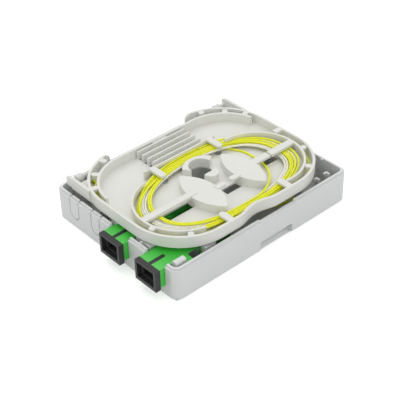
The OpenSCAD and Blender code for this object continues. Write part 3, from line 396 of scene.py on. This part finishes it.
def level(k):
    return TRAY_FLOOR + FIBRE * (k + 0.5) + LAYER_GAP * (k + 1)


print("levels:", [round(level(k), 2) for k in (0, 1, 2)])

# %% [markdown]
# In the base each fibre is only guided by its own stiffness: it runs back from the plug,
# turns wide at the far end, follows the hinge wall and climbs to the tray. A fibre must not
# bend tighter than about 15 mm, so the points make long even curves. A Bezier curve drawn by
# hand would do as well, but points are easy to read, and are the same as those of the solids.

# %% Routes in the base
def behind_plug(x):
    return [(x, y, PORT_Z) for y in (-27, -16, 3.5)]


pale_lead = behind_plug(PORT_X[0]) + [
    (4.6, 8, 10), (5, 13, 9.2), (5, 18, 8), (4, 23, 6.6), (2, 27.6, 5.4), (-1.5, 31.4, 4.4),
    (-6, 34, 3.6), (-11, 35.2, 3), (-16, 35.2, 2.8), (-21, 34, 3), (-25.5, 31.6, 3.6),
    (-29.4, 28, 4.4), (-32.4, 23.6, 5.4), (-34.4, 18.6, 6.6), (-35.3, 13.4, 7.8), (-35.5, 8, 9),
    (-35.5, 2, 10), (-35.4, -4, 11), (-35.2, -10, 11.8)]
pale_hinge_run = [
    (-35.2, -10, 11.8), (-34.8, -16, 12.5), (-34.2, -22, 13.2), (-33.2, -28, 13.9),
    (-31.9, -33, 14.6), (-30.6, -35.9, 15.3), (-29.9, -37.3, 16.2), (-29.9, -37.5, 16.9)]
yellow_lead = behind_plug(PORT_X[1]) + [
    (29.3, 7.4, 10), (30.6, 12, 9.5), (31.2, 17, 8.6), (31, 22, 7.5), (30, 27, 6.2),
    (27.8, 32.4, 4.8), (24, 37, 3.8), (19.6, 40, 3.2), (14.6, 41.8, 2.8), (9, 42.4, 2.8),
    (3, 42.4, 2.8), (-3, 42.2, 2.8), (-9, 41.8, 2.8), (-15, 40.8, 2.8), (-20.6, 39, 2.8),
    (-26, 36, 3.2), (-30.6, 31.6, 4), (-33.8, 26.4, 5.2), (-35.8, 20.8, 6.6), (-36.7, 15, 7.8),
    (-36.9, 9, 9), (-36.9, 3, 10), (-36.8, -3, 11), (-36.6, -9, 11.8)]
yellow_hinge_run = [
    (-36.6, -9, 11.8), (-36.2, -15, 12.5), (-35.6, -21, 13.2), (-34.7, -27, 13.9),
    (-33.3, -32.6, 14.6), (-31.8, -36.4, 15.3), (-30.7, -38.2, 16.2), (-30.7, -38.4, 16.9)]
print("points of the leads:", len(pale_lead), "and", len(yellow_lead))

# %% [markdown]
# In the tray the fibres first lie in the outer channel: round the pocket's wall, along the
# near end and round the free corner. An arc about a middle gives such a stretch. The tail
# takes the channel at the far end. Where it has no wall to follow, its points are listed,
# each with the level that it has there.


# %% Routes in the tray's outer channel
def arc(middle, radius, start, stop, step, z):
    turns = [math.radians(a) for a in range(start, stop + step, step)]
    return [(middle[0] + radius * math.cos(a), middle[1] + radius * math.sin(a), z) for a in turns]


POCKET, POCKET_R = (-9.5, -23.0), 24.25
CORNER_Y, CORNER_R = 23.1, 23.45


def channel_run(k):
    z = level(k)
    round_pocket = arc(POCKET, POCKET_R, 224, 264, 8, z)
    near_end = [(share * TRAY_X, -CHANNEL_Y, z) for share in (-0.104, 0.078, 0.26)]
    return round_pocket + near_end + arc((COIL_X, -CORNER_Y), CORNER_R, 270, 342, 12, z)


def at_levels(points):
    return [(x, y, level(k)) for x, y, k in points]


yellow_entry = [(-30.7, -38.4, 16.9), (-30.4, -38.9, 18.2), (-29.4, -39.4, 19.1)]
pale_entry = [(-29.9, -37.5, 16.9), (-29.7, -37.8, 17.6), (-29.1, -38.5, 18.25)]
yellow_entry += channel_run(1)
pale_entry += channel_run(0)
tail = at_levels([
    (29.6, -14.0, 0), (31.7, -9.0, 0), (33.3, -4.0, 0), (34.4, 1.0, 0), (35.2, 6.0, 0),
    (36.0, 12.0, 0), (36.0, 18.0, 0)])
tail += arc((COIL_X, CORNER_Y), CORNER_R, -4, 84, 11, level(0)) + [(10.0, CHANNEL_Y, level(0))]
tail += at_levels([
    (5.0, 46.4, 0), (0.5, 45.3, 0.1), (-3.5, 42.9, 0.3), (-6.5, 39.5, 0.6), (-8.7, 35.8, 0.9),
    (-10.5, 31.8, 1.1), (-12.2, 27.0, 1.3), (-13.2, 22.0, 1.5), (-13.9, 16.5, 1.7),
    (-14.4, 10.5, 1.9), (-14.6, 4.0, 2), (-14.5, -3.0, 2), (-13.9, -9.5, 2),
    (-12.6, -16.0, 2), (-10.3, -22.3, 1.8), (-7.0, -28.4, 1.5), (-3.0, -34.0, 1.2),
    (1.5, -38.4, 0.8), (6.0, -41.2, 0.4), (11.5, -42.6, 0)])
print("points of the entries:", len(yellow_entry), len(pale_entry), "of the tail:", len(tail))

# %% [markdown]
# A coil wound by hand is no spiral with even steps: the turns bunch together on one side and
# fan out on another. So each turn has a row of its own, with its distance from the guide rib,
# the free side, the far end and the near end, and then the levels that it has there. A spiral
# from Blender's menu would be quicker, but its turns keep even steps.

# %% Rows of the two coils
yellow_rows = [
    ((1.6, 4.2, 7.9, 6.2), (2, 1, 2.1, 0)),
    ((2.45, 4.6, 10.5, 7.1), (2, 2, 2.1, 1)),
    ((3.3, 5.1, 12.0, 7.6), (2, 1, 2.1, 0)),
    ((4.15, 5.6, 12.85, 12.6), (2, 2, 2.1, 2)),
    ((5.0, 6.4, 12.4, 13.4), (2, 2, 1.1, 2)),
    ((5.0, 7.0, 12.4, 13.4), (2, 2, 1.1, 2))]
pale_rows = [
    ((1.2, 5.4, 9.2, 8.4), (1, 0, 1.6, 2)),
    ((2.1, 6.0, 11.2, 9.4), (1, 1, 2.1, 2)),
    ((3.8, 7.0, 14.2, 10.4), (1, 1, 2.1, 2)),
    ((6.1, 7.8, 15.2, 11.5), (2, 2, 1.6, 1)),
    ((6.1, 8.2, 15.2, 11.5), (2, 1, 1.6, 1))]
print("turns:", len(yellow_rows) - 1, "yellow and", len(pale_rows) - 1, "pale")

# %% [markdown]
# Between two of its four places a turn follows a rounded outline. It is an ellipse whose
# cosine and sine are raised to a power under 1, which makes it squarer where the tray's arcs
# guide the fibre. Its distances and levels pass evenly from one row to the next, each side
# at its own part of the turn.

# %% Wind the coils
SIDE_PHASE = (0.5, 0.0, 0.25, 0.75)  # the share of a turn at which each side is passed
SQUARE = 0.8                         # 1 gives an ellipse, less gives a squarer outline
TURN_STEPS = 48


def between_rows(rows, which, side, turn):
    turn = min(max(turn - SIDE_PHASE[side], 0), len(rows) - 1)
    row = min(int(turn), len(rows) - 2)
    here, after = rows[row][which][side], rows[row + 1][which][side]
    return here + (turn - row) * (after - here)


def coil(rows):
    points = []
    for step in range((len(rows) - 1) * TURN_STEPS + 1):
        turn = step / TURN_STEPS
        rib, free, far, near = (between_rows(rows, 0, side, turn) for side in range(4))
        at_rib, at_free, at_far, at_near = (between_rows(rows, 1, side, turn) for side in range(4))
        c, s = math.cos(2 * math.pi * turn), math.sin(2 * math.pi * turn)
        outline = 1 if c < 0 and s < 0 else SQUARE  # a plain ellipse by the near pocket
        half_x = TRAY_X - free - COIL_X if c > 0 else COIL_X - GUIDE_X - rib
        middle_y, half_y = (near - far) / 2, TRAY_Y - (near + far) / 2
        x = COIL_X + math.copysign(half_x * abs(c) ** outline, c)
        y = middle_y + half_y * math.copysign(abs(s) ** outline, s)
        k = (at_free if c > 0 else at_rib) * c * c + (at_far if s > 0 else at_near) * s * s
        points.append((x, y, level(k)))
    return points


yellow_coil, pale_coil = coil(yellow_rows), coil(pale_rows)
print("points of the coils:", len(yellow_coil), "yellow and", len(pale_coil), "pale")

# %% [markdown]
# A fibre enters by the channel, goes round its coil, and ends. The yellow one leaves its coil
# at the free side, crosses the tray past the far lens and lies in the far pocket, where its
# end can be seen. The pale one ends in its coil.

# %% Paths in the tray
crossing = at_levels([
    (31.3, 4.2, 2), (30.6, 8.0, 2), (29.0, 12.0, 2), (26.8, 15.8, 1.6), (23.8, 19.4, 1.2),
    (19.8, 22.6, 0.8), (15.6, 24.7, 0.4), (11.4, 25.9, 0.1), (7.1, 26.4, 0), (2.4, 26.4, 0),
    (-1.8, 25.4, 0), (-5.4, 23.4, 0), (-8.6, 21.9, 0), (-12.2, 22.3, 0), (-16.0, 24.2, 0)])
yellow_path = yellow_entry + yellow_coil + crossing
pale_path = pale_entry + pale_coil
print("points in the tray:", len(yellow_path), "yellow and", len(pale_path), "pale")

# %% [markdown]
# Drawn like that, some strands would pass through each other where they cross. Real ones
# push each other aside, so the strands settle here: each point is compared with every
# stretch of fibre, and where two lie closer than the pressed width of a soft buffer both
# give way. The shift is spread along the strand, because a fibre can't kink. Rigid body
# physics could do this too, but it would be slow for strands a metre long, and would not
# keep them on the route that was drawn.

# %% How far strands may push each other
PRESSED = FIBRE - 0.04  # soft buffers that touch give a little
STILL_CLOSE = PRESSED - 0.15
ROUNDS = 160
GIVE_WAY = 0.25         # the share of an overlap that each strand moves in a round
EVEN_OUT = 0.25         # how strongly a shift spreads to the points beside it
FADE = 0.995            # the share of a shift that is kept from one round to the next
OWN_POINTS = 3          # nearer stretches of a point's own strand don't push it
print("strands keep", round(PRESSED, 2), "mm apart")

# %% [markdown]
# All strands go into one table of points, and a second table says which strand each point
# belongs to. A stretch joins a point to the next one of its strand. A point always lies close
# to the stretches beside it, so those pairs are marked as its own and left out.

# %% Tables of points and stretches
paths = [yellow_path, pale_path, tail]
sizes = [len(path) for path in paths]
goal = np.array([point for path in paths for point in path], dtype=float)
strand = np.repeat(np.arange(len(paths)), sizes)
first = np.flatnonzero(strand[:-1] == strand[1:])
second = first + 1
inner = np.flatnonzero((strand[1:-1] == strand[:-2]) & (strand[1:-1] == strand[2:])) + 1
own = strand[:, None] == strand[first][None, :]
own &= np.abs(np.arange(len(goal))[:, None] - first[None, :] - 0.5) < OWN_POINTS
print("points:", len(goal), "stretches:", len(first))

# %% [markdown]
# The distance from a point to a stretch is found as on paper: the point is projected on the
# stretch, the foot is kept between its ends, and the gap is what is left. With numpy this is
# done for all pairs at once, about 270 000 of them, in a few hundredths of a second. Loops
# over the pairs would take minutes for all rounds together.


# %% Find the places where strands are too close
def too_close(now):
    start, run = now[first], now[second] - now[first]
    offset = now[:, None, :] - start[None, :, :]
    part = np.clip((offset * run[None]).sum(2) / (run * run).sum(1)[None], 0, 1)
    gap = offset - part[..., None] * run[None]
    distance = np.sqrt((gap * gap).sum(2)) + 1e-6
    return (distance < PRESSED) & ~own, distance, gap, part


print("too close as drawn:", int(too_close(goal)[0].sum()), "pairs")

# %% [markdown]
# The tray sets limits. A point in the hole of the floor is held, so that the stretch at the
# hinge still meets it. A strand stays between the floor and the tabs over the third level,
# and one that is drawn inside an arc wall stays inside. Testing against the tray's mesh
# would be exact but slow, and the walls that matter are only two arcs and two planes.

# %% Limits of the tray
ARC_R = 20.3      # the largest radius for a fibre inside an arc wall
ARC_MARGIN = 1.6  # points up to this far outside that radius are drawn in
in_floor_hole = goal[:, 2] < TRAY_FLOOR + FIBRE / 2
off_arc = np.stack([goal[:, 0] - COIL_X, goal[:, 1] - np.sign(goal[:, 1]) * CORNER_Y], 1)
in_arc = (np.abs(goal[:, 1]) > CORNER_Y - 1) & (np.hypot(*off_arc.T) < ARC_R + ARC_MARGIN)
lowest = np.minimum(level(0) - goal[:, 2], 0)
highest = np.maximum(level(2) + 2 * LAYER_GAP - goal[:, 2], 0)


def keep_in_tray(shift):
    spot = off_arc + shift[:, :2]
    radius = np.hypot(*spot.T)
    outside = np.maximum(radius - ARC_R, 0) * in_arc / np.maximum(radius, 1)
    shift[:, :2] -= spot * outside[:, None]
    shift[:, 2] = np.clip(shift[:, 2], lowest, highest)
    shift[in_floor_hole] = 0


print("points held:", int(in_floor_hole.sum()), "inside an arc wall:", int(in_arc.sum()))

# %% [markdown]
# In each round both sides of every overlap get a small push, the shifts are evened out along
# each strand, and the limits have the last word. Pushing a whole overlap at once would be
# quicker, but the strands would then swing to and fro.

# %% Settle the strands on each other
shift = np.zeros_like(goal)
for _ in range(ROUNDS):
    close, distance, gap, part = too_close(goal + shift)
    point, stretch = np.nonzero(close)
    apart, share = distance[point, stretch], part[point, stretch][:, None]
    push = gap[point, stretch] / apart[:, None] * ((PRESSED - apart) * GIVE_WAY)[:, None]
    np.add.at(shift, point, push)
    np.add.at(shift, first[stretch], -push * (1 - share))
    np.add.at(shift, second[stretch], -push * share)
    evened = shift.copy()
    evened[inner] += EVEN_OUT * (shift[inner - 1] + shift[inner + 1] - 2 * shift[inner])
    shift = evened * FADE
    keep_in_tray(shift)
yellow_path, pale_path, tail = (
    path.tolist() for path in np.split(goal + shift, np.cumsum(sizes)[:-1]))
print("largest shift:", round(float(np.abs(shift).max()), 2), "mm, pairs still close:",
      int((distance[close] < STILL_CLOSE).sum()))

# %% [markdown]
# Every stretch of fibre is the same thing: a round tube along a path. A Geometry Nodes tree
# does that for all of them. It turns the path's edges into a curve, bends it smoothly through
# its points, samples it evenly, and draws a circle along it. A script could place the rings
# itself, but the tree needs one node a step and its sizes stay easy to change. Its inputs
# have names, and a modifier sets them by their identifiers, so these are kept.

# %% Tree that draws a fibre along a path
fibre_tree = bpy.data.node_groups.new("fibre_along_path", "GeometryNodeTree")
interface = fibre_tree.interface
sockets = {}
for title, kind in (("Path", "Geometry"), ("Radius", "Float"), ("Spacing", "Float"),
                    ("Sides", "Int"), ("Buffer", "Material")):
    socket = interface.new_socket(name=title, in_out="INPUT", socket_type="NodeSocket" + kind)
    sockets[title] = socket.identifier
interface.new_socket(name="Fibre", in_out="OUTPUT", socket_type="NodeSocketGeometry")
given = add_node(fibre_tree, "NodeGroupInput").outputs
path = add_node(fibre_tree, "GeometryNodeMeshToCurve", {"Mesh": given["Path"]})
bent = add_node(fibre_tree, "GeometryNodeCurveSplineType", {"Curve": path.outputs[0]},
                spline_type="CATMULL_ROM")
fine_path = add_node(fibre_tree, "GeometryNodeSetSplineResolution", {
    "Geometry": bent.outputs[0], "Resolution": 16})
even = add_node(fibre_tree, "GeometryNodeResampleCurve", {
    "Curve": fine_path.outputs[0], "Length": given["Spacing"]}, mode="LENGTH")
ring = add_node(fibre_tree, "GeometryNodeCurvePrimitiveCircle", {
    "Radius": given["Radius"], "Resolution": given["Sides"]})
tube = add_node(fibre_tree, "GeometryNodeCurveToMesh", {
    "Curve": even.outputs[0], "Profile Curve": ring.outputs[0], "Fill Caps": True})
smooth = add_node(fibre_tree, "GeometryNodeSetShadeSmooth", {"Geometry": tube.outputs[0]})
real = add_node(fibre_tree, "GeometryNodeRealizeInstances", {"Geometry": smooth.outputs[0]})
coated = add_node(fibre_tree, "GeometryNodeSetMaterial", {
    "Geometry": real.outputs[0], "Material": given["Buffer"]})
add_node(fibre_tree, "NodeGroupOutput", {"Fibre": coated.outputs[0]})
print("tree nodes:", len(fibre_tree.nodes))

# %% [markdown]
# A path is a mesh of points and edges only. The tree is put on it as a modifier, its result
# is taken as a plain mesh, and the modifier goes, so that the piece can ride on a body. The
# soft buffers of neighbours press flat against each other. The drawn strand is a tenth
# thicker than the buffer for that, so the groove between two strands is as shallow as theirs.


# %% Make one stretch of fibre
SWELL = 1.1
RING_SPACING = 0.8 * MM
RING_SIDES = 12


def fibre(name, points, buffer):
    mesh = bpy.data.meshes.new(name)
    steps = [(i, i + 1) for i in range(len(points) - 1)]
    mesh.from_pydata([(x * MM, y * MM, z * MM) for x, y, z in points], steps, [])
    piece = bpy.data.objects.new(name, mesh)
    scene.collection.objects.link(piece)
    grow = piece.modifiers.new("fibre", "NODES")
    grow.node_group = fibre_tree
    for title, value in (("Radius", SWELL * FIBRE / 2 * MM), ("Spacing", RING_SPACING),
                         ("Sides", RING_SIDES), ("Buffer", buffer)):
        grow[sockets[title]] = value
    graph = bpy.context.evaluated_depsgraph_get()
    drawn = bpy.data.meshes.new_from_object(piece.evaluated_get(graph))
    piece.modifiers.clear()
    piece.data = drawn
    run = sum(math.dist(a, b) for a, b in zip(points, points[1:]))
    print(name, "is", round(run), "mm long and has", len(drawn.polygons), "faces")
    return piece


print("drawn thickness:", round(SWELL * FIBRE, 2), "mm")

# %% [markdown]
# The leads lie in the base and don't move when the tray swings, so they ride on the base.
# Each takes the place of the coarse solid that stands for it in the physics model.

# %% Leads in the base
pale_in_base = fibre("pale_fibre_in_base", pale_lead, pale_pvc)
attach(pale_in_base, "base")
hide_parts("pigtail_lead_1")
yellow_in_base = fibre("yellow_fibre_in_base", yellow_lead, yellow_pvc)
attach(yellow_in_base, "base")
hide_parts("pigtail_lead_2")

# %% [markdown]
# Where a fibre passes the hinge it belongs to both bodies: in the real box its lower end stays
# in the base, its upper end turns with the tray, and the 30 mm between twist a little. A piece
# that rode on one body would tear off at the other, so this stretch rides on neither body: its
# place is only baked into its mesh.

# %% Stretches that pass the hinge
pale_at_hinge = fibre("pale_fibre_at_hinge", pale_hinge_run, pale_pvc)
yellow_at_hinge = fibre("yellow_fibre_at_hinge", yellow_hinge_run, yellow_pvc)
for piece, run in ((pale_at_hinge, pale_hinge_run), (yellow_at_hinge, yellow_hinge_run)):
    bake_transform(piece)

# %% [markdown]
# The coils lie on the tray's floor and swing up with it, so they ride on the tray. The tail
# is a loose end of yellow fibre: it follows the outer channel past the far corner and comes
# back along the guide rib with the coil's turns.

# %% Coils and tail in the tray
pale_in_tray = fibre("pale_fibre_in_tray", pale_path, pale_pvc)
yellow_in_tray = fibre("yellow_fibre_in_tray", yellow_path, yellow_pvc)
tail_in_tray = fibre("yellow_fibre_tail", tail, yellow_pvc)
for piece, node, jacket in (
        (pale_in_tray, "fibre_coil_pale", "pale_jacket"),
        (yellow_in_tray, "fibre_coil_yellow", "yellow_jacket"),
        (tail_in_tray, "fibre_tail_yellow", "yellow_jacket")):
    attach(piece, "tray")
    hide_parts(node)
